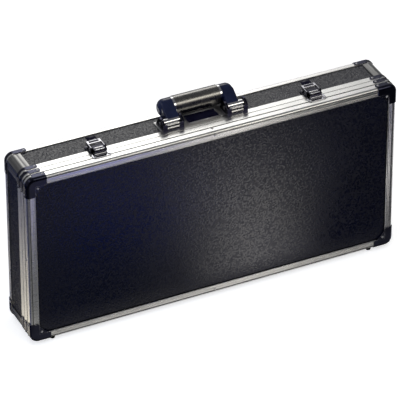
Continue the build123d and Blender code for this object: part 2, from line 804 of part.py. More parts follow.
def handle_arm():
    """Moulded arm on the right: a domed end over the grip, and a web forward to the barrel."""
    pivot = (handle_pivot_depth, z_over(handle_pivot_height))
    end = (grip_depth, z_over(grip_height))
    cap = rod_x(arm_end_radius, arm_inner, arm_outer, *end)
    cap = fillet(cap.faces().sort_by(Axis.X)[-1].edges(), arm_dome)
    outline = tangent_points(pivot, barrel_radius - arm_neck_step, end, arm_end_radius)
    web = along_x(side_profile(outline), arm_inner, arm_outer - arm_web_inset)
    web = fillet(web.faces().sort_by(Axis.X)[-1].edges(), arm_web_round)
    body = cap + web
    body -= rod_x(barrel_radius, arm_inner - 1, arm_outer + 1, *pivot)
    cheek_room = box_between(arm_inner - 1, barrel_inner, bracket_front, bracket_back + cheek_side_clearance,
                             top - overshoot, top + 2 * overshoot)
    return body - cheek_room


def handle_grip():
    """Polished tube that the hand holds."""
    return rod_x(grip_radius, -grip_half_length, grip_half_length, grip_depth, z_over(grip_height))


def handle_ferrules():
    """Ring at each end of the grip, between it and the arm."""
    ring = rod_x(grip_radius - ferrule_step, grip_half_length, arm_inner, grip_depth, z_over(grip_height))
    return both_sides(ring)


# ---- foam ----
def lid_foam():
    """Foam pad glued behind the lid's board."""
    front = lid_panel_back + foam_clearance
    return case_block(foam_inset, front, front + lid_foam_thickness)


def base_foam_bed():
    """Foam pad on the base's back board."""
    return case_block(foam_inset, foam_bed_front, foam_bed_front + foam_wall)


def base_foam_walls():
    """Foam strips along the base's four walls."""
    depth0 = base_start + alu_wall
    depth1 = foam_bed_front - foam_clearance
    x_end = half_length - foam_inset
    z_high = top - foam_inset
    z_low = foot_height + foam_inset
    upper = box_between(-x_end, x_end, depth0, depth1, z_high - foam_wall, z_high)
    inner_low = z_low + foam_wall + foam_clearance
    inner_high = z_high - foam_wall - foam_clearance
    right = box_between(x_end - foam_wall, x_end, depth0, depth1, inner_low, inner_high)
    strips = [upper, upside_down(upper), mirror(right, about=Plane.YZ), right]
    hollow = case_block(foam_inset, depth0, depth1)
    return Compound(children=[solid for strip in strips for solid in (strip & hollow).solids()])


def build_nodes():
    """Every node of the case, by name."""
    nodes = {}
    base_boards = side_boards(base_start + alu_wall, back_panel_front)
    for side, board in base_boards.items():
        nodes[f"base_{side}_panel"] = board
    nodes["base_back_panel"] = back_panel()
    nodes["base_back_frame"] = back_frame()
    nodes["base_rim"] = rim_channel(base_start, base_rim_end, base_start + inner_leg_depth)
    for corner, post in four_corners(corner_post()).items():
        nodes[f"corner_post_{corner}"] = post
    for corner, cap in four_corners(base_ball_corner()).items():
        nodes[f"base_ball_corner_{corner}"] = cap
    base_brackets = four_corners(rim_bracket(*base_bracket_depths()))
    nodes["base_rim_brackets"] = Compound(children=list(base_brackets.values()))
    nodes["base_rivets"] = base_rivets()
    nodes["base_feet"] = both_sides(foot(base_foot_depth, foot_height + alu_wall))

    lid_boards = side_boards(lid_panel_back, lid_depth - alu_wall)
    nodes["lid_side_boards"] = Compound(children=list(lid_boards.values()))
    nodes["lid_panel"] = lid_panel()
    nodes["lid_edge_frame"] = lid_edge_frame()
    nodes["lid_rim"] = rim_channel(lid_depth, lid_rim_start, lid_depth - inner_leg_depth)
    for corner, cap in four_corners(lid_ball_corner()).items():
        nodes[f"lid_ball_corner_{corner}"] = cap
    lid_brackets = four_corners(rim_bracket(*lid_bracket_depths()))
    nodes["lid_rim_brackets"] = Compound(children=list(lid_brackets.values()))
    nodes["lid_rivets"] = Compound(children=[*lid_rivets().solids(), *keeper_rivets()])
    nodes["lid_feet"] = both_sides(foot(lid_foot_depth, foot_height))

    base_spans, lid_spans = hinge_spans()
    base_leaf = hinge_leaf_with_knuckles(hinge_axis_depth + hinge_leaf_edge, base_spans, 1)
    lid_leaf = hinge_leaf_with_knuckles(hinge_axis_depth - hinge_leaf_edge, lid_spans, -1)
    nodes["hinge_pins"] = both_sides(hinge_pin())

    latch_parts = {
        "latch_base": latch_base(),
        "latch_lever": latch_lever(),
        "latch_thumb_tab": latch_thumb_tab(),
        "latch_hook": latch_hook(),
        "latch_keeper": latch_keeper(),
        "hinge_base_leaf": base_leaf,
        "hinge_lid_leaf": lid_leaf,
        "handle_bracket": handle_bracket(),
        "handle_arm": handle_arm(),
    }
    for name, solid in latch_parts.items():
        nodes[f"{name}_right"] = solid
        nodes[f"{name}_left"] = mirror(solid, about=Plane.YZ)
    pivots = latch_pivots()
    nodes["latch_pivots"] = Compound(children=pivots + [mirror(pivot, about=Plane.YZ) for pivot in pivots])

    nodes["handle_plate"] = handle_plate()
    nodes["label_plate"] = label_plate()
    nodes["handle_pins"] = both_sides(handle_pin())
    nodes["handle_barrels"] = both_sides(handle_barrel())
    nodes["handle_grip"] = handle_grip()
    nodes["handle_ferrules"] = handle_ferrules()

    nodes["lid_foam"] = lid_foam()
    nodes["base_foam_bed"] = base_foam_bed()
    nodes["base_foam_walls"] = base_foam_walls()
    return nodes


def main():
    os.makedirs("parts", exist_ok=True)
    nodes = build_nodes()
    for name, shape in nodes.items():
        export_step(shape, f"parts/{name}.step")
    print(len(nodes), "nodes")


main()
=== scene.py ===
# %% [markdown]
# # A carrying case for effect pedals
# The case arrives as a rigid model: boards, aluminium sections, corners, hinges, latches and a handle, each
# one already in its place. This lesson dresses it. It finishes every surface, makes the foam lining as soft
# forms, and adds the small forms that the rigid model leaves plain.

# %% Load the rigid model
import bpy
import bmesh
import math
from mathutils import Matrix, Vector, noise


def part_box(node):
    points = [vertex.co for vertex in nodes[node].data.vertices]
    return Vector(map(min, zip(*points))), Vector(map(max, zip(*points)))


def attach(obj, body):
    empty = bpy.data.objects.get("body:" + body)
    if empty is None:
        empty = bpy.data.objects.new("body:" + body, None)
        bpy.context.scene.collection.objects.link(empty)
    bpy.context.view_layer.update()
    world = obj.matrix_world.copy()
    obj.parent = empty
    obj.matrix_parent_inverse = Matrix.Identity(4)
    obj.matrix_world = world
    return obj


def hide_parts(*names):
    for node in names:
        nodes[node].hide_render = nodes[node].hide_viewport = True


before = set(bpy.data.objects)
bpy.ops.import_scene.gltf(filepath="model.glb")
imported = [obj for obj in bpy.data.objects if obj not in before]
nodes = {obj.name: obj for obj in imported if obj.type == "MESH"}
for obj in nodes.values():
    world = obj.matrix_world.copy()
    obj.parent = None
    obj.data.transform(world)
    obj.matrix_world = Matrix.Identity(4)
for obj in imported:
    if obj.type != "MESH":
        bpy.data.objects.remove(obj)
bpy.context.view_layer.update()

# %% [markdown]
# ## The camera
# The case is seen from its front left and from above, from far away, so its long edges stay nearly
# parallel. A long lens far off gives that, where a wide lens close by would make the near corner swell.

# %% Place the camera
SENSOR = 36.0
FRAME_PIXELS = 400
FOCAL_PIXELS = 3840.0
CASE_MIDDLE = Vector((0, 0, 0.17))
camera_data = bpy.data.cameras.new("studio_camera")
camera_data.sensor_width = SENSOR
camera_data.lens = FOCAL_PIXELS * SENSOR / FRAME_PIXELS
camera_data.clip_start = 0.5
camera_data.clip_end = 40.0
camera = bpy.data.objects.new("studio_camera", camera_data)
bpy.context.scene.collection.objects.link(camera)
camera.location = (-2.3530, -4.9127, 3.8529)
view_right = Vector((0.90192, -0.43191, -0.00127))
view_down = Vector((-0.24289, -0.50477, -0.82838))
view_ahead = Vector((0.35714, 0.74744, -0.56017))
turn = Matrix((view_right, -view_down, -view_ahead)).transposed()
camera.rotation_mode = "QUATERNION"
camera.rotation_quaternion = turn.to_quaternion()
bpy.context.scene.camera = camera
print("lens", round(camera_data.lens, 1), "mm at", round((camera.location - CASE_MIDDLE).length, 2), "m")

# %% [markdown]
# ## The floor and the world
# The case stands on a wide pale sheet under a white sky. Both have two looks: the camera and the shiny
# surfaces see them white, and soft light gets a dimmer version, so that white surroundings don't wash the
# case out. The floor keeps its shadow. The kind of ray decides which of the two looks counts.

# %% New materials and kinds of ray
def new_material(name):
    """An empty node material with its output and one Principled shader."""
    material = bpy.data.materials.new(name)
    material.use_nodes = True
    tree = material.node_tree
    tree.nodes.clear()
    output = tree.nodes.new("ShaderNodeOutputMaterial")
    shader = tree.nodes.new("ShaderNodeBsdfPrincipled")
    tree.links.new(shader.outputs["BSDF"], output.inputs["Surface"])
    return material, tree, shader, output


def sees_background(tree):
    """1 for a ray from the camera, from a shiny surface or through glass, 0 for soft light."""
    rays = tree.nodes.new("ShaderNodeLightPath")
    either = tree.nodes.new("ShaderNodeMath")
    either.operation = "MAXIMUM"
    tree.links.new(rays.outputs["Is Camera Ray"], either.inputs[0])
    tree.links.new(rays.outputs["Is Glossy Ray"], either.inputs[1])
    all_three = tree.nodes.new("ShaderNodeMath")
    all_three.operation = "MAXIMUM"
    tree.links.new(either.outputs[0], all_three.inputs[0])
    tree.links.new(rays.outputs["Is Transmission Ray"], all_three.inputs[1])
    return all_three.outputs[0]


print("material and ray helpers ready")

# %% Floor
FLOOR_GLOW = 0.66
FLOOR_LEVEL = -0.0005


def make_floor_material():
    """Pale paper: white where the camera or a shiny surface looks at it, with the case's shadow kept."""
    material, tree, shader, output = new_material("pale_floor")
    shader.inputs["Base Color"].default_value = (0.90, 0.90, 0.90, 1)
    shader.inputs["Roughness"].default_value = 0.9
    shader.inputs["Specular IOR Level"].default_value = 0.1
    glow = tree.nodes.new("ShaderNodeEmission")
    glow.inputs["Color"].default_value = (1, 1, 1, 1)
    glow.inputs["Strength"].default_value = FLOOR_GLOW
    both = tree.nodes.new("ShaderNodeAddShader")
    mix = tree.nodes.new("ShaderNodeMixShader")
    tree.links.new(shader.outputs["BSDF"], both.inputs[0])
    tree.links.new(glow.outputs["Emission"], both.inputs[1])
    tree.links.new(sees_background(tree), mix.inputs[0])
    tree.links.new(shader.outputs["BSDF"], mix.inputs[1])
    tree.links.new(both.outputs["Shader"], mix.inputs[2])
    tree.links.new(mix.outputs["Shader"], output.inputs["Surface"])
    return material


def make_floor(size=14.0):
    """One large flat sheet under the case."""
    mesh = bpy.data.meshes.new("studio_floor")
    half = size / 2
    corners = [(-half, -half, 0), (half, -half, 0), (half, half, 0), (-half, half, 0)]
    mesh.from_pydata(corners, [], [(0, 1, 2, 3)])
    floor = bpy.data.objects.new("studio_floor", mesh)
    floor.location.z = FLOOR_LEVEL
    bpy.context.scene.collection.objects.link(floor)
    floor.data.materials.append(make_floor_material())
    return floor


floor = make_floor()
print("floor", floor.name)

# %% World
SOFT_WORLD = 0.30
PLAIN_WHITE = 1.0


def make_world():
    """A white sky for the camera and for shiny surfaces, and a dim one for soft light."""
    world = bpy.data.worlds.new("studio_world")
    world.use_nodes = True
    tree = world.node_tree
    tree.nodes.clear()
    mix = tree.nodes.new("ShaderNodeMixShader")
    tree.links.new(sees_background(tree), mix.inputs[0])
    for socket, strength in ((1, SOFT_WORLD), (2, PLAIN_WHITE)):
        sky = tree.nodes.new("ShaderNodeBackground")
        sky.inputs["Color"].default_value = (1, 1, 1, 1)
        sky.inputs["Strength"].default_value = strength
        tree.links.new(sky.outputs["Background"], mix.inputs[socket])
    output = tree.nodes.new("ShaderNodeOutputWorld")
    tree.links.new(mix.outputs["Shader"], output.inputs["Surface"])
    return world


bpy.context.scene.world = make_world()
bpy.context.scene.view_settings.view_transform = "Standard"
print("world", bpy.context.scene.world.name)

# %% [markdown]
# ## Soft lamps
# One lamp hangs above the case, one stands at the left for its end, and a weak one stands in front. All are
# large: the size of a lamp, and not its power, sets how soft the edge of its shadow is.

# %% Lamps
def soft_lamp(name, place, aim, width, height, watts, tint=(1, 1, 1)):
    """A rectangular area lamp at a place, facing a point; the cards and not the lamps show in the shine."""
    data = bpy.data.lights.new(name, "AREA")
    data.shape = "RECTANGLE"
    data.size = width
    data.size_y = height
    data.energy = watts
    data.color = tint
    lamp = bpy.data.objects.new(name, data)
    lamp.location = place
    lamp.rotation_mode = "QUATERNION"
    lamp.rotation_quaternion = (Vector(aim) - Vector(place)).to_track_quat("-Z", "Y")
    lamp.visible_glossy = False
    bpy.context.scene.collection.objects.link(lamp)
    return lamp


soft_lamp("lamp_front", (0.50, -1.30, 0.75), (0.08, -0.05, 0.20), 0.60, 0.60, 1.2)
soft_lamp("lamp_left", (-2.2, -0.9, 1.1), (0, 0, 0.2), 1.4, 1.4, 14, (0.60, 0.72, 1.0))
soft_lamp("lamp_above", (0, -0.3, 2.4), (0, 0, 0.2), 2.0, 2.0, 14)

# %% [markdown]
# ## Grey cards
# Metal shows what stands round it. With white all round, every section would come out the same white, so
# grey cards stand behind the case, in front of it and at both ends, hang over it and lie on the floor. They
# show in reflections only: a card throws no shadow and the camera looks through it. Some cards are tinted,
# because what black film shows is mostly reflection. A pool of light on a card is a cone of brightness: a
# face that mirrors a wide pool shows a soft sheen, and a narrow one on the floor brightens the metal edges
# beside it.

# %% Make a card
def grey_card(name, corners, level, pools=()):
    """A flat card that only shiny surfaces see; each pool on it is (middle, reach, turn, colour)."""
    mesh = bpy.data.meshes.new(name)
    mesh.from_pydata(corners, [], [(0, 1, 2, 3)])
    card = bpy.data.objects.new(name, mesh)
    bpy.context.scene.collection.objects.link(card)
    material, tree, shader, output = new_material(name)
    place = tree.nodes.new("ShaderNodeTexCoord")
    glow = tree.nodes.new("ShaderNodeEmission")
    glow.inputs["Color"].default_value = (*level, 1)
    total = glow.outputs["Emission"]
    for middle, reach, turn, colour in pools:
        mapping = tree.nodes.new("ShaderNodeMapping")
        mapping.vector_type = "TEXTURE"
        mapping.inputs["Location"].default_value = middle
        mapping.inputs["Rotation"].default_value = (0, 0, math.radians(turn))
        mapping.inputs["Scale"].default_value = reach
        ball = tree.nodes.new("ShaderNodeTexGradient")
        ball.gradient_type = "SPHERICAL"
        pool = tree.nodes.new("ShaderNodeEmission")
        pool.inputs["Color"].default_value = (*colour, 1)
        both = tree.nodes.new("ShaderNodeAddShader")
        tree.links.new(place.outputs["Object"], mapping.inputs["Vector"])
        tree.links.new(mapping.outputs["Vector"], ball.inputs["Vector"])
        tree.links.new(ball.outputs["Fac"], pool.inputs["Strength"])
        tree.links.new(total, both.inputs[0])
        tree.links.new(pool.outputs["Emission"], both.inputs[1])
        total = both.outputs["Shader"]
    tree.links.new(total, output.inputs["Surface"])
    mesh.materials.append(material)
    for kind in ("camera", "diffuse", "shadow", "transmission", "volume_scatter"):
        setattr(card, "visible_" + kind, False)
    return card


print("card helper ready")

# %% [markdown]
# A card that should show in one part of the lid's face has to lie where that part mirrors it. The direction
# of view turns round at the face, as at a mirror, and goes on down to the floor. The camera is so far away
# that one direction does for the whole face.

# %% Corners of a card
LID_FACE = -0.048


def lying(low, high, height=0.0006):
    """Corners of a level card, by default just over the floor."""
    (left, near), (right, far) = low, high
    return [(left, near, height), (right, near, height), (right, far, height), (left, far, height)]


def standing(start, end, high):
    """Corners of an upright card on a line over the floor."""
    return [(*start, 0), (*end, 0), (*end, high), (*start, high)]


def mirrored(x, z):
    """The place on the floor that the camera sees in the lid's face at a point of it."""
    reach = z / -view_ahead.z
    return x + view_ahead.x * reach, LID_FACE - view_ahead.y * reach


def mirrored_card(left, right, low, high, height=0.0012):
    """Corners of a card on the floor that lies where a part of the lid's face mirrors it."""
    spots = [mirrored(left, low), mirrored(right, low), mirrored(right, high), mirrored(left, high)]
    return [(x, y, height) for x, y in spots]


print("the middle of the lid's face mirrors", [round(v, 3) for v in mirrored(0, CASE_MIDDLE.z)])

# %% Pools of light
BAND_TURN = math.degrees(math.atan2(view_ahead.x, view_ahead.y))
front_pools = [
    ((0.00, -0.07, 0), (0.52, 0.08, 1), 0, (0.62, 0.60, 0.57)),
    ((-0.33, -0.28, 0), (0.42, 0.70, 1), 0, (0.13, 0.13, 0.12)),
    ((-0.03, -0.52, 0), (0.42, 0.26, 1), 0, (0.62, 0.57, 0.50)),
]
board_pools = [
    ((*mirrored(0.082, 0.17), 0), (0.125, 1.60, 1), BAND_TURN, (3.1, 2.98, 2.86)),
    ((*mirrored(-0.01, 0.08), 0), (0.16, 0.40, 1), BAND_TURN, (0.42, 0.41, 0.41)),
    ((*mirrored(-0.26, 0.29), 0), (0.28, 0.19, 1), BAND_TURN, (0.00, 0.09, 1.45)),
    ((*mirrored(-0.30, 0.15), 0), (0.30, 0.60, 1), BAND_TURN, (0.05, 0.06, 0.08)),
]
left_pools = [((-0.436, 0.180, 0), (0.014, 0.50, 1), 22.4, (2.9, 2.65, 2.0))]
ahead_pools = [((0.80, -1.4, 1.80), (0.90, 1, 0.75), 0, (4.6, 4.4, 3.9))]
behind_pools = [((0.62, 1.9, 1.76), (0.85, 1, 1.0), 0, (3.9, 3.85, 3.7))]
pool_lists = (front_pools, board_pools, left_pools, ahead_pools, behind_pools)
print("pools:", sum(len(pools) for pools in pool_lists))

# %% Lay the cards
LEFT_END, RIGHT_END = -1.7, 3.0
AHEAD, BEHIND = -1.4, 1.9
SIDE_BACK, SIDE_TOP = 1.6, 1.6
CARD_TOP = 2.6
CASE_FRONT, CASE_BACK, CASE_END = -0.056, 0.060, 0.352
floor_front = lying((LEFT_END, AHEAD), (RIGHT_END, CASE_FRONT))
floor_board = mirrored_card(-0.325, 0.325, 0.032, 0.318)
floor_under = lying((-CASE_END, CASE_FRONT), (CASE_END, CASE_BACK))
floor_left = lying((LEFT_END, CASE_FRONT), (-CASE_END, SIDE_BACK))
wall_ahead = standing((LEFT_END, AHEAD), (RIGHT_END, AHEAD), CARD_TOP)
wall_right = standing((RIGHT_END, AHEAD), (RIGHT_END, BEHIND), CARD_TOP)
wall_left = standing((LEFT_END, AHEAD), (LEFT_END, SIDE_BACK), SIDE_TOP)
wall_behind = standing((-2.4, BEHIND), (RIGHT_END, BEHIND), CARD_TOP)
ceiling = lying((LEFT_END, AHEAD), (RIGHT_END, BEHIND), CARD_TOP)
grey_card("card_front", floor_front, (0.055, 0.055, 0.06), front_pools)
grey_card("card_board", floor_board, (0.012, 0.014, 0.026), board_pools)
grey_card("card_under", floor_under, (0.012, 0.011, 0.010))
grey_card("card_left", floor_left, (0.026, 0.036, 0.105), left_pools)
grey_card("card_ahead", wall_ahead, (0.03, 0.03, 0.05), ahead_pools)
grey_card("card_right", wall_right, (0.07, 0.07, 0.08))
grey_card("card_side", wall_left, (0.18, 0.18, 0.20))
grey_card("card_behind", wall_behind, (0.30, 0.30, 0.31), behind_pools)
grey_card("card_above", ceiling, (0.15, 0.15, 0.16))

# %% [markdown]
# ## Helpers for the finishes
# A finish is one Principled shader. What varies over a surface, such as grain, dust or polish, comes from
# noise that is measured in metres on the object, so a pebble or a brush line keeps its real size.

# %% Places, noise and colours
def object_place(tree, scale=(1, 1, 1)):
    """Places on the object in metres, stretched by a scale."""
    place = tree.nodes.new("ShaderNodeTexCoord")
    mapping = tree.nodes.new("ShaderNodeMapping")
    mapping.inputs["Scale"].default_value = scale
    tree.links.new(place.outputs["Object"], mapping.inputs["Vector"])
    return mapping.outputs["Vector"]


def noise_at(tree, vector, scale, detail=3.0, roughness=0.5):
    """Noise with lumps of about one over scale, in metres."""
    node = tree.nodes.new("ShaderNodeTexNoise")
    node.inputs["Scale"].default_value = scale
    node.inputs["Detail"].default_value = detail
    node.inputs["Roughness"].default_value = roughness
    tree.links.new(vector, node.inputs["Vector"])
    return node.outputs["Fac"]


def spread(tree, value, low, high, from_low=0.3, from_high=0.7):
    """A value from one stretch mapped on to another."""
    node = tree.nodes.new("ShaderNodeMapRange")
    node.inputs["From Min"].default_value = from_low
    node.inputs["From Max"].default_value = from_high
    node.inputs["To Min"].default_value = low
    node.inputs["To Max"].default_value = high
    tree.links.new(value, node.inputs["Value"])
    return node.outputs["Result"]


def colours(tree, value, dark, light):
    """A colour between two, by a value from 0 to 1."""
    node = tree.nodes.new("ShaderNodeValToRGB")
    node.color_ramp.elements[0].position = 0.3
    node.color_ramp.elements[0].color = (*dark, 1)
    node.color_ramp.elements[1].position = 0.7
    node.color_ramp.elements[1].color = (*light, 1)
    tree.links.new(value, node.inputs["Fac"])
    return node.outputs["Color"]


print("noise and colour helpers ready")

# %% Edges, bumps and painting
def soft_edges(tree, radius):
    """Normals that turn round a sharp edge within a radius, as on a broken edge."""
    node = tree.nodes.new("ShaderNodeBevel")
    node.samples = 4
    node.inputs["Radius"].default_value = radius
    return node.outputs["Normal"]


def edge_wear_and_highlight(tree, rounded, low=0.03, high=0.25):
    """1 on an edge and 0 on a flat: how far the rounded normal leans from the face's own; it masks rubbed
    edges and painted edge highlights.
    """
    face = tree.nodes.new("ShaderNodeNewGeometry")
    lean = tree.nodes.new("ShaderNodeVectorMath")
    lean.operation = "DOT_PRODUCT"
    tree.links.new(rounded, lean.inputs[0])
    tree.links.new(face.outputs["Normal"], lean.inputs[1])
    return spread(tree, lean.outputs["Value"], 0.0, 1.0, 1 - low, 1 - high)


def blend_colours(tree, share, first, second):
    """One colour passing into another; second is a plain colour."""
    node = tree.nodes.new("ShaderNodeMix")
    node.data_type = "RGBA"
    tree.links.new(share, node.inputs["Factor"])
    tree.links.new(first, node.inputs["A"])
    node.inputs["B"].default_value = (*second, 1)
    return node.outputs["Result"]


def raise_grain(tree, shader, height, distance, strength=1.0, below=None):
    """Bump from a height, in metres, over any bump below it."""
    bump = tree.nodes.new("ShaderNodeBump")
    bump.inputs["Distance"].default_value = distance
    bump.inputs["Strength"].default_value = strength
    tree.links.new(height, bump.inputs["Height"])
    if below is not None:
        tree.links.new(below, bump.inputs["Normal"])
    tree.links.new(bump.outputs["Normal"], shader.inputs["Normal"])
    return bump.outputs["Normal"]


def paint(material, *names):
    """A material over every slot of the named CAD nodes."""
    for name in names:
        mesh = nodes[name].data
        if not mesh.materials:
            mesh.materials.append(material)
        for index in range(len(mesh.materials)):
            mesh.materials[index] = material


print("edge, bump and painting helpers ready")

# %% [markdown]
# ## Aluminium sections
# The sections are drawn bars: along their length the die leaves fine lines, and anodising makes them satin.
# The lines are noise that is stretched along X, the way that the long sections run. Edges get rubbed
# bright, and the paler metal where the surface turns sharply is also a painted highlight along each edge.

# %% Aluminium
ALONG_X = (0.02, 1, 1)
BROKEN_EDGE = 0.0007
# Paler metal on the edges: rubbing and a painted highlight.
RUBBED_AND_HIGHLIGHT_METAL = (0.86, 0.86, 0.85)


def make_aluminium(name, dark, light):
    """Satin anodised aluminium with die lines along X, and edges painted paler, as rubbing and as a painted
    highlight.
    """
    material, tree, shader, _ = new_material(name)
    shader.inputs["Metallic"].default_value = 1.0
    lines = noise_at(tree, object_place(tree, ALONG_X), 900.0, 2.0)
    clouds = noise_at(tree, object_place(tree), 22.0, 4.0)
    edges = soft_edges(tree, BROKEN_EDGE)
    tint = colours(tree, clouds, dark, light)
    wear_and_highlight = edge_wear_and_highlight(tree, edges)
    tree.links.new(blend_colours(tree, wear_and_highlight, tint, RUBBED_AND_HIGHLIGHT_METAL), shader.inputs["Base Color"])
    tree.links.new(spread(tree, lines, 0.25, 0.36), shader.inputs["Roughness"])
    raise_grain(tree, shader, lines, 0.00004, 0.5, edges)
    return material


aluminium = make_aluminium("aluminium_sections", (0.72, 0.72, 0.71), (0.80, 0.80, 0.79))
section_names = ("lid_edge_frame", "lid_rim", "base_rim", "base_back_frame")
paint(aluminium, *section_names)
print("aluminium:", ", ".join(section_names))

# %% [markdown]
# The rounded posts at the corners are drawn too. Dark and light streaks along their depth are painted into
# the colour as reflections of their rounded face, and the same coarse lines give a slight bump. Their noise
# is stretched along Y and has coarse lines as well as the fine ones.

# %% Streaked posts
# Colours of the painted reflections on the posts.
REFLECTION_STREAK_DARK = (0.07, 0.07, 0.075)
REFLECTION_STREAK_LIGHT = (0.40, 0.40, 0.39)


def make_reflection_streaked_aluminium():
    """Aluminium with coarse dark and light streaks along Y, painted into the colour as reflections and
    raised as a slight bump.
    """
    material, tree, shader, _ = new_material("aluminium_posts")
    shader.inputs["Metallic"].default_value = 1.0
    fine = noise_at(tree, object_place(tree, (1, 0.02, 1)), 900.0, 2.0)
    coarse = noise_at(tree, object_place(tree, (1, 0.012, 1)), 230.0, 2.0)
    edges = soft_edges(tree, BROKEN_EDGE)
    tree.links.new(colours(tree, coarse, REFLECTION_STREAK_DARK, REFLECTION_STREAK_LIGHT), shader.inputs["Base Color"])
    tree.links.new(spread(tree, fine, 0.24, 0.38), shader.inputs["Roughness"])
    die_lines = raise_grain(tree, shader, fine, 0.00004, 0.5, edges)
    raise_grain(tree, shader, coarse, 0.0002, 0.5, die_lines)
    return material


corner_names = ("top_left", "top_right", "bottom_left", "bottom_right")
paint(make_reflection_streaked_aluminium(), *[f"corner_post_{corner}" for corner in corner_names])
print("posts:", len(corner_names))

# %% [markdown]
# ## Black boards
# The boards are wrapped in black plastic film with a pebbled grain. Cells two or three millimetres wide
# make the pebbles, and each cell is a little duller or glossier than the next, which breaks the shine into
# specks. The long boards at top and bottom get a finer and glossier copy of the same film, which paints a
# brighter sheen on them, and the boards at both ends a duller copy, which paints them darker.

# %% Pebbled film
FILM_DARK = (0.0022, 0.0030, 0.0110)
FILM_LIGHT = (0.0040, 0.0050, 0.0160)
DULL_PEBBLE, GLOSSY_PEBBLE = 0.54, 0.12


def make_pebbled_film(name, shine, pebbles_per_metre):
    """Black film with a pebbled grain; every pebble has its own polish."""
    material, tree, shader, _ = new_material(name)
    place = object_place(tree)
    cells = tree.nodes.new("ShaderNodeTexVoronoi")
    cells.inputs["Scale"].default_value = pebbles_per_metre
    tree.links.new(place, cells.inputs["Vector"])
    fine = noise_at(tree, place, 1400.0, 3.0)
    clouds = noise_at(tree, place, 9.0, 4.0)
    tree.links.new(colours(tree, clouds, FILM_DARK, FILM_LIGHT), shader.inputs["Base Color"])
    polish = spread(tree, cells.outputs["Color"], DULL_PEBBLE, GLOSSY_PEBBLE, 0.25, 0.75)
    tree.links.new(polish, shader.inputs["Roughness"])
    shader.inputs["Specular IOR Level"].default_value = shine
    pebbles = raise_grain(tree, shader, cells.outputs["Distance"], 0.0004, 0.7)
    raise_grain(tree, shader, fine, 0.0001, 0.35, pebbles)
    return material


pebbled_film = make_pebbled_film("pebbled_film", 0.35, 370.0)
# Lit and shaded copies of one film: more shine paints a brighter sheen, less paints shade.
lit_copy_film = make_pebbled_film("lit_copy_film", 0.62, 620.0)
shaded_copy_film = make_pebbled_film("shaded_copy_film", 0.16, 620.0)
paint(pebbled_film, "lid_panel", "lid_side_boards", "base_back_panel")
paint(lit_copy_film, "base_top_panel", "base_bottom_panel")
paint(shaded_copy_film, "base_left_panel", "base_right_panel")
print("films:", pebbled_film.name, lit_copy_film.name, shaded_copy_film.name)

# %% [markdown]
# ## Chrome, nickel and steel
# Chrome is a mirror with a tint. Its look comes almost all from what it reflects, so the shaders stay
# simple: a little haze from handling, a dark tint for black chrome, and a paler metal painted on the edges,
# where they are rubbed and as a painted highlight.

# %% Plated metals
def make_plated(name, dark, light, haze, worn_highlight=None):
    """Plated metal with faint smears of haze; worn_highlight is the paler colour painted on its edges, as
    rubbing and as a painted highlight, if any.
    """
    material, tree, shader, _ = new_material(name)
    shader.inputs["Metallic"].default_value = 1.0
    place = object_place(tree)
    smears = noise_at(tree, place, 60.0, 5.0, 0.6)
    edges = soft_edges(tree, BROKEN_EDGE)
    tint = colours(tree, smears, dark, light)
    if worn_highlight:
        tint = blend_colours(tree, edge_wear_and_highlight(tree, edges), tint, worn_highlight)
    tree.links.new(tint, shader.inputs["Base Color"])
    tree.links.new(spread(tree, smears, *haze), shader.inputs["Roughness"])
    raise_grain(tree, shader, noise_at(tree, place, 350.0, 2.0), 0.00006, 0.4, edges)
    return material


print("plating helper ready")

# %% The plated finishes
black_chrome = make_plated("black_chrome", (0.022, 0.024, 0.042), (0.042, 0.044, 0.070), (0.14, 0.26),
                           worn_highlight=(0.42, 0.42, 0.48))
bright_chrome = make_plated("bright_chrome", (0.66, 0.66, 0.68), (0.78, 0.78, 0.79), (0.07, 0.16))
plain_steel = make_plated("plain_steel", (0.42, 0.42, 0.43), (0.52, 0.52, 0.52), (0.28, 0.42),
                          worn_highlight=(0.66, 0.66, 0.66))
dark_steel = make_plated("dark_steel", (0.012, 0.012, 0.026), (0.024, 0.024, 0.046), (0.16, 0.28),
                         worn_highlight=(0.34, 0.34, 0.40))
# The latches' chrome is painted dark, grey and near-black: painted dark reflections of the chrome.
latch_dark_reflection_chrome = make_plated("latch_dark_reflection_chrome", (0.30, 0.30, 0.33), (0.42, 0.42, 0.45), (0.10, 0.20),
                           worn_highlight=(0.80, 0.80, 0.82))
latch_dark_reflection_black = make_plated("latch_dark_reflection_black", (0.010, 0.010, 0.018), (0.024, 0.024, 0.036), (0.12, 0.22),
                          worn_highlight=(0.45, 0.45, 0.50))
rivet_nickel = make_plated("rivet_nickel", (0.74, 0.74, 0.75), (0.82, 0.82, 0.82), (0.30, 0.40))
satin_plate = make_plated("satin_plate", (0.72, 0.72, 0.73), (0.80, 0.80, 0.80), (0.42, 0.55))
gunmetal = make_plated("gunmetal", (0.21, 0.206, 0.20), (0.27, 0.265, 0.255), (0.22, 0.30))
print("plated finishes ready")

# %% Paint the metal
for corner in corner_names:
    paint(black_chrome, f"lid_ball_corner_{corner}", f"base_ball_corner_{corner}")
paint(black_chrome, "lid_rim_brackets", "base_rim_brackets")
paint(rivet_nickel, "lid_rivets", "base_rivets")
paint(bright_chrome, "handle_pins", "handle_ferrules", "handle_barrels", "latch_pivots")
for side in ("left", "right"):
    # The latches' plating is painted dark as its reflections.
    paint(latch_dark_reflection_chrome, f"latch_lever_{side}", f"latch_keeper_{side}")
    paint(latch_dark_reflection_black, f"latch_base_{side}", f"latch_hook_{side}")
    paint(plain_steel, f"hinge_base_leaf_{side}", f"hinge_lid_leaf_{side}")
    paint(dark_steel, f"handle_bracket_{side}")
paint(plain_steel, "hinge_pins")
paint(satin_plate, "handle_plate")
paint(gunmetal, "handle_grip")
print("metal painted")

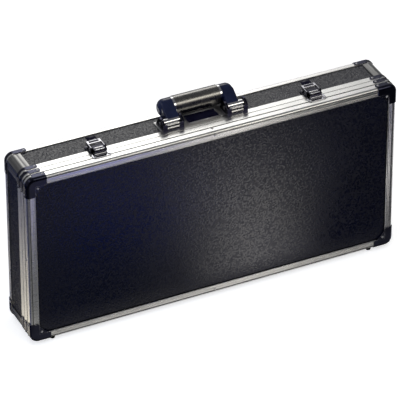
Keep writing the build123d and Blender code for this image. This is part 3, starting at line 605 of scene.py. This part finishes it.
# %% [markdown]
# ## Moulded plastic and rubber
# The handle's arms and the latch tabs are moulded, with a fine grain from the mould. The arms shine more
# than the tabs. The enamel of the plate between the brackets looks as the tabs do. The feet are dull black
# rubber.

# %% Plastics
def make_moulded(name, dark, light, roughness, grain, shine=0.5):
    """Moulded plastic or rubber with a fine grain."""
    material, tree, shader, _ = new_material(name)
    place = object_place(tree)
    clouds = noise_at(tree, place, 40.0, 4.0)
    tree.links.new(colours(tree, clouds, dark, light), shader.inputs["Base Color"])
    tree.links.new(spread(tree, clouds, *roughness), shader.inputs["Roughness"])
    shader.inputs["Specular IOR Level"].default_value = shine
    raise_grain(tree, shader, noise_at(tree, place, 1500.0, 2.0), grain, 0.5)
    return material


arm_plastic = make_moulded("arm_plastic", (0.003, 0.006, 0.024), (0.008, 0.014, 0.050), (0.14, 0.24),
                           0.00004, shine=0.40)
tab_plastic = make_moulded("tab_plastic", (0.004, 0.004, 0.014), (0.010, 0.010, 0.026), (0.16, 0.26),
                           0.00002, shine=0.12)
foot_rubber = make_moulded("foot_rubber", (0.004, 0.004, 0.004), (0.010, 0.010, 0.010), (0.65, 0.80), 0.0001)
for side in ("left", "right"):
    paint(arm_plastic, f"handle_arm_{side}")
    paint(tab_plastic, f"latch_thumb_tab_{side}")
paint(tab_plastic, "label_plate")
paint(foot_rubber, "lid_feet", "base_feet")
print("plastic and rubber painted")

# %% [markdown]
# ## Thin bars
# Several small forms are thin round bars: the lip round the lid's board, the bars of painted shade, the
# raised line on each corner, the bars of the handle's brackets and the rim of its bare plate. A curve with
# a round section makes such a bar in one step. It is turned into a mesh at once, so that it behaves like
# every other piece.

# %% Bar and dressing helpers
def round_bar(name, points, radius, closed=False):
    """A thin round bar along straight runs between points."""
    curve = bpy.data.curves.new(name, "CURVE")
    curve.dimensions = "3D"
    curve.bevel_depth = radius
    curve.bevel_resolution = 2
    curve.use_fill_caps = True
    run = curve.splines.new("POLY")
    run.points.add(len(points) - 1)
    for spot, point in zip(run.points, points):
        spot.co = (*point, 1)
    run.use_cyclic_u = closed
    draft = bpy.data.objects.new(name + "_draft", curve)
    mesh = bpy.data.meshes.new_from_object(draft)
    bpy.data.objects.remove(draft)
    bpy.data.curves.remove(curve)
    mesh.name = name
    for face in mesh.polygons:
        face.use_smooth = True
    piece = bpy.data.objects.new(name, mesh)
    bpy.context.scene.collection.objects.link(piece)
    return piece


def dress(piece, material, body):
    """Gives a piece its finish and the body that it moves with."""
    piece.data.materials.clear()
    piece.data.materials.append(material)
    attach(piece, body)
    return piece


print("bar helper ready")

# %% [markdown]
# ## The lip and the painted shade lines of the lid
# The flange of the lid's edge section ends in a small rolled lip, and under it, where the board goes in, a
# thin black bar paints the shade of the recess. Both run round the whole board, and the pressed corners hide
# their ends. Black bars paint the shade in the flange's outer groove too, and in two gaps round the case:
# between the lid's two sections, and in the joint between lid and base.

# %% Paths round the lid
case_low, case_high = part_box("lid_edge_frame")
lid_face = case_low[1]


def face_loop(inset, y):
    """Corners of a rectangle on the lid's face, a distance in from the case's outline."""
    x, low, high = case_high[0] - inset, case_low[2] + inset, case_high[2] - inset
    return [(-x, y, low), (x, y, low), (x, y, high), (-x, y, high)]


def ring_path(inset, y, bend=0.006):
    """A closed path round the case's outline at a depth, set in from it, with cut corners."""
    x, low, high = case_high[0] - inset, case_low[2] + inset, case_high[2] - inset
    return [(-x, y, low + bend), (-x, y, high - bend), (-x + bend, y, high), (x - bend, y, high),
            (x, y, high - bend), (x, y, low + bend), (x - bend, y, low), (-x + bend, y, low)]


print("lid outline:", [round(1000 * (b - a)) for a, b in zip(case_low, case_high)], "mm")

# %% Lip and painted shade lines
FLANGE = 0.015
EDGE_SECTION_DEPTH = 0.0143
GROOVE_INSET = 0.00435
RING_INSET = 0.00085
# The lip's metal is painted a shade paler than the sections: a painted highlight along the lip.
lip_highlight_metal = make_aluminium("lip_highlight_metal", (0.76, 0.76, 0.75), (0.84, 0.84, 0.83))
# The black of these bars is painted shade: the dark of the recess, the groove and the gaps.
shade_line_black = make_moulded("shade_line_black", (0.002, 0.002, 0.002), (0.005, 0.005, 0.005), (0.5, 0.7), 0.00004,
                          shine=0.10)
lip = round_bar("lid_flange_lip", face_loop(FLANGE - 0.0006, lid_face + 0.0002), 0.0009, closed=True)
dress(lip, lip_highlight_metal, "lid")
rim_low, rim_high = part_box("lid_rim")
section_gap = (lid_face + EDGE_SECTION_DEPTH + rim_low[1]) / 2
# Paths and radii of the bars of painted shade.
shade_line_paths = {
    "lid_board_shade_line": (face_loop(FLANGE + 0.0011, lid_face + 0.0015), 0.0009),
    "lid_flange_shade_line": (face_loop(GROOVE_INSET, lid_face + 0.00065), 0.0006),
    "lid_joint_shade_line": (ring_path(RING_INSET, rim_high[1] + 0.0002), 0.0008),
    "lid_section_shade_line": (ring_path(RING_INSET, section_gap), 0.0008),
}
for name, (path, radius) in shade_line_paths.items():
    dress(round_bar(name, path, radius, closed=True), shade_line_black, "lid")
print("lip and", len(shade_line_paths), "painted_shade_lines")

# %% [markdown]
# ## Raised lines on the pressed corners
# A pressed corner keeps its flat web stiff with a shallow raised line that carries on the edge of the
# flange. The line's metal is painted far paler than the black chrome round it: a painted highlight.

# %% Raised lines
# Paler metal for the raised lines: a painted highlight.
corner_line_highlight_metal = make_plated("corner_line_highlight_metal", (0.20, 0.20, 0.23), (0.34, 0.34, 0.38), (0.14, 0.24))
LINE_REACH = 0.020
for side_x in (-1, 1):
    for side_z, name_z, z in ((1, "top", case_high[2] - FLANGE), (-1, "bottom", case_low[2] + FLANGE)):
        x = side_x * (case_high[0] - FLANGE)
        name_x = "left" if side_x < 0 else "right"
        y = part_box(f"lid_ball_corner_{name_z}_{name_x}")[0][1] + 0.0001
        corner = [(x, y, z - side_z * LINE_REACH), (x, y, z), (x - side_x * LINE_REACH, y, z)]
        line = round_bar(f"lid_corner_line_{name_z}_{name_x}", corner, 0.0005)
        dress(line, corner_line_highlight_metal, "lid")

# %% [markdown]
# ## Foam lining
# Open-cell foam is cut from sheet, so a pad is flat, but its edges are never sharp and its face is a little
# uneven. Each pad starts as a dense grid over a box. Every point is pulled towards a smaller box inside it
# and set back out by a fixed radius, which rounds all edges at once, and noise then sinks the face
# slightly. The lid's pad is profiled foam: rows of soft peaks that press on what lies below and keep it
# from sliding.

# %% A soft slab
def soft_slab(name, low, high, radius, step, sink=None):
    """A slab with round edges; sink(point, outward) gives how far a point goes in from the face."""
    mesh = bmesh.new()
    spans = [high[i] - low[i] for i in range(3)]
    counts = [max(3, round(span / step)) for span in spans]
    grid = {}

    def point(i, j, k):
        key = (i, j, k)
        if key not in grid:
            place = Vector([low[a] + spans[a] * n / counts[a] for a, n in enumerate(key)])
            core = Vector([min(max(place[a], low[a] + radius), high[a] - radius) for a in range(3)])
            outward = (place - core).normalized()
            place = core + outward * radius
            if sink:
                place -= outward * sink(place, outward)
            grid[key] = mesh.verts.new(place)
        return grid[key]

    for axis in range(3):
        first, second = [a for a in range(3) if a != axis]
        for level in (0, counts[axis]):
            for i in range(counts[first]):
                for j in range(counts[second]):
                    corners = []
                    for di, dj in ((0, 0), (1, 0), (1, 1), (0, 1)):
                        key = [0, 0, 0]
                        key[axis], key[first], key[second] = level, i + di, j + dj
                        corners.append(point(*key))
                    mesh.faces.new(corners)
    bmesh.ops.recalc_face_normals(mesh, faces=mesh.faces)
    for face in mesh.faces:
        face.smooth = True
    data = bpy.data.meshes.new(name)
    mesh.to_mesh(data)
    mesh.free()
    piece = bpy.data.objects.new(name, data)
    bpy.context.scene.collection.objects.link(piece)
    return piece


def uneven(place, outward):
    """How far a cut foam face sinks: a few tenths of a millimetre, by long waves and short ones."""
    return 0.00016 * (1 + noise.noise(place * 26.0)) + 0.00006 * (1 + noise.noise(place * 140.0))


print("slab helper ready")

# %% Foam finish
FOAM_DARK = (0.022, 0.022, 0.025)
FOAM_LIGHT = (0.038, 0.038, 0.042)


def make_foam():
    """Dark grey open-cell foam."""
    material, tree, shader, _ = new_material("open_cell_foam")
    place = object_place(tree)
    cells = tree.nodes.new("ShaderNodeTexVoronoi")
    cells.inputs["Scale"].default_value = 900.0
    tree.links.new(place, cells.inputs["Vector"])
    clouds = noise_at(tree, place, 14.0, 4.0)
    tree.links.new(colours(tree, clouds, FOAM_DARK, FOAM_LIGHT), shader.inputs["Base Color"])
    shader.inputs["Roughness"].default_value = 0.95
    shader.inputs["Sheen Weight"].default_value = 0.25
    shader.inputs["Sheen Roughness"].default_value = 0.6
    pores = raise_grain(tree, shader, cells.outputs["Distance"], 0.0007, 0.7)
    raise_grain(tree, shader, noise_at(tree, place, 420.0, 3.0), 0.0003, 0.4, pores)
    return material


open_cell_foam = make_foam()
print("foam finish ready")

# %% The foam pads
def lay_pad(piece, body, node):
    """A finished pad in place of its CAD block."""
    piece.data.materials.append(open_cell_foam)
    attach(piece, body)
    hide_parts(node)
    return piece


PEAK_PITCH = 0.0305
PEAK_HEIGHT = 0.0056
MIDDLE_ROW = 0.1715
PLAIN_BORDER = 0.010
lid_low, lid_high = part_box("lid_foam")


def peaks(place, outward):
    """The sink between the peaks of profiled foam, on the face that looks into the case."""
    sunk = uneven(place, outward)
    if outward.y > 0.5:
        along = math.cos(math.tau * place.x / PEAK_PITCH)
        wave = along * math.cos(math.tau * (place.z - MIDDLE_ROW) / PEAK_PITCH)
        edge = min(place.x - lid_low[0], lid_high[0] - place.x, place.z - lid_low[2], lid_high[2] - place.z)
        hold = min(1.0, edge / PLAIN_BORDER)
        sunk += PEAK_HEIGHT * (0.5 - 0.5 * wave) * hold
    return sunk


lid_pad = soft_slab("lid_profiled_pad", lid_low, lid_high, 0.0022, 0.0032, peaks)
bed_pad = soft_slab("base_bed_pad", *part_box("base_foam_bed"), 0.0026, 0.0045, uneven)
pads = [lay_pad(lid_pad, "lid", "lid_foam"), lay_pad(bed_pad, "base", "base_foam_bed")]
print("pads:", [pad.name for pad in pads])

# %% The foam strips on the walls
wall_low, wall_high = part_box("base_foam_walls")
STRIP = 0.010
GAP = 0.0003
inner_low = wall_low[2] + STRIP + GAP
inner_high = wall_high[2] - STRIP - GAP
strip_boxes = {
    "top": ((wall_low[0], wall_low[1], wall_high[2] - STRIP), (wall_high[0], wall_high[1], wall_high[2])),
    "bottom": ((wall_low[0], wall_low[1], wall_low[2]), (wall_high[0], wall_high[1], wall_low[2] + STRIP)),
    "left": ((wall_low[0], wall_low[1], inner_low), (wall_low[0] + STRIP, wall_high[1], inner_high)),
    "right": ((wall_high[0] - STRIP, wall_low[1], inner_low), (wall_high[0], wall_high[1], inner_high)),
}
for side, (low, high) in strip_boxes.items():
    strip = soft_slab(f"base_wall_pad_{side}", low, high, 0.0024, 0.004, uneven)
    pads.append(lay_pad(strip, "base", "base_foam_walls"))
print("foam pads:", len(pads), "faces:", sum(len(pad.data.polygons) for pad in pads))

# %% [markdown]
# ## Small forms of the latches
# A draw latch is pressed from sheet: a rib and a lip stiffen the hook, and a near-black inlay over the lever
# is a painted dark reflection.
# Two screws hold the base plate and two the keeper. At this size a rounded slab is enough for a rib,
# because only its shine shows. A screw head is turned: a profile goes round an axis, and a slot across it
# tells it from a rivet.

# %% Screw heads and small slabs
HEAD_PROFILE = ((1.0, 0.0), (1.0, 0.35), (0.86, 0.75), (0.55, 0.96))
HEAD_STEPS = 24
SLOT_HALF = 0.22
SLOT_DEPTH = 0.5


def screw_head(name, place, radius, height, turn):
    """A low round screw head on a level face, with a slot across it."""
    mesh = bmesh.new()
    rings = []
    for share, level in HEAD_PROFILE:
        ring = []
        for step in range(HEAD_STEPS):
            angle = math.tau * step / HEAD_STEPS
            spot = (radius * share * math.cos(angle), radius * share * math.sin(angle), height * level)
            ring.append(mesh.verts.new(spot))
        rings.append(ring)
    for lower, upper in zip(rings, rings[1:]):
        for step in range(HEAD_STEPS):
            after = (step + 1) % HEAD_STEPS
            mesh.faces.new((lower[step], lower[after], upper[after], upper[step]))
    crown = mesh.verts.new((0, 0, height))
    for step in range(HEAD_STEPS):
        mesh.faces.new((rings[-1][step], rings[-1][(step + 1) % HEAD_STEPS], crown))
    for vert in mesh.verts:
        if vert.co.z > 0.6 * height and abs(vert.co.y) < SLOT_HALF * radius:
            vert.co.z -= SLOT_DEPTH * height
    data = bpy.data.meshes.new(name)
    mesh.to_mesh(data)
    mesh.free()
    data.transform(Matrix.Translation(place) @ Matrix.Rotation(turn, 4, "Z"))
    piece = bpy.data.objects.new(name, data)
    bpy.context.scene.collection.objects.link(piece)
    return piece


def small_slab(name, middle, half, radius):
    """A rounded slab round a middle point."""
    low = [m - h for m, h in zip(middle, half)]
    high = [m + h for m, h in zip(middle, half)]
    return soft_slab(name, low, high, radius, max(half) / 6)


print("screw and slab helpers ready")

# %% Latch ribs, inlays and screws
LATCH_X = 0.201
SCREW_REACH = 0.0125
RIB_HALF = (0.0086, 0.0014, 0.0007)
LIP_HALF = (0.0092, 0.0011, 0.0006)
INLAY_HALF = (0.0090, 0.0022, 0.0004)
case_top = case_high[2]
plate_top = case_top + 0.0012
for side, x in (("left", -LATCH_X), ("right", LATCH_X)):
    hook_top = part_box(f"latch_hook_{side}")[1][2]
    lever_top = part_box(f"latch_lever_{side}")[1][2]
    rib = small_slab(f"latch_hook_rib_{side}", (x, -0.0175, hook_top), RIB_HALF, 0.0006)
    dress(rib, bright_chrome, f"latch_hook_{side}")
    lip = small_slab(f"latch_hook_lip_{side}", (x, -0.0235, hook_top - 0.0002), LIP_HALF, 0.0005)
    dress(lip, bright_chrome, f"latch_hook_{side}")
    inlay = small_slab(f"latch_lever_inlay_{side}", (x, 0.0022, lever_top + 0.0001), INLAY_HALF, 0.0003)
    dress(inlay, latch_dark_reflection_black, f"latch_lever_{side}")
    for number, offset in enumerate((-SCREW_REACH, SCREW_REACH)):
        place = (x + offset, 0.0018, plate_top)
        screw = screw_head(f"latch_base_screw_{side}_{number + 1}", place, 0.0021, 0.0010, 0.6 + number)
        dress(screw, bright_chrome, "base")
        place = (x + offset, -0.0320, plate_top)
        screw = screw_head(f"latch_keeper_screw_{side}_{number + 1}", place, 0.0020, 0.0009, 1.9 + number)
        dress(screw, latch_dark_reflection_black, "lid")

# %% [markdown]
# The thumb tab is a moulded cap that is pushed over the lever's tongue. It is wider than the tongue and
# domed, so that a thumb finds it without looking: its upper face sinks towards the rim with the square of
# the distance from the middle.

# %% Thumb tabs
DOME = 0.0020
OVERHANG = 0.0018
for side in ("left", "right"):
    low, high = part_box(f"latch_thumb_tab_{side}")
    middle = [(a + b) / 2 for a, b in zip(low, high)]
    half = [(high[0] - low[0]) / 2 + OVERHANG, (high[1] - low[1]) / 2, (high[2] - low[2]) / 2]

    def dome(place, outward):
        """How far the upper face sinks at a place."""
        off = ((place.x - middle[0]) / half[0]) ** 2 + ((place.y - middle[1]) / half[1]) ** 2
        return DOME * min(off, 1.0) if outward.z > 0.5 else 0.0

    tab_low = [m - h for m, h in zip(middle, half)]
    tab_high = [m + h for m, h in zip(middle, half)]
    tab = soft_slab(f"latch_tab_cap_{side}", tab_low, tab_high, 0.0024, 0.0006, dome)
    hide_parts(f"latch_thumb_tab_{side}")
    dress(tab, tab_plastic, f"latch_lever_{side}")
print("thumb tab size:", [round(v * 1000, 1) for v in tab.dimensions], "mm")

# %% [markdown]
# ## Bars of the handle's brackets and the rim of the plate
# Each bracket is closed at the front by two polished bars between its folded edges. The small plate between
# the brackets is plain black enamel in a satin rim.

# %% Bracket bars and plate rim
BAR_REACH = 0.0118
for side in ("left", "right"):
    low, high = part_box(f"handle_bracket_{side}")
    middle = (low[0] + high[0]) / 2
    for place, height, radius in (("lower", 0.0046, 0.0019), ("upper", 0.0106, 0.0014)):
        y, z = low[1] + 0.0021, case_top + height
        ends = [(middle - BAR_REACH, y, z), (middle + BAR_REACH, y, z)]
        bar = round_bar(f"bracket_bar_{place}_{side}", ends, radius)
        dress(bar, bright_chrome, "base")
label_low, label_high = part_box("label_plate")
rim_z = label_high[2]
rim_corners = [(label_low[0], label_low[1], rim_z), (label_high[0], label_low[1], rim_z),
               (label_high[0], label_high[1], rim_z), (label_low[0], label_high[1], rim_z)]
rim = round_bar("label_plate_rim", rim_corners, 0.0009, closed=True)
dress(rim, satin_plate, "base")
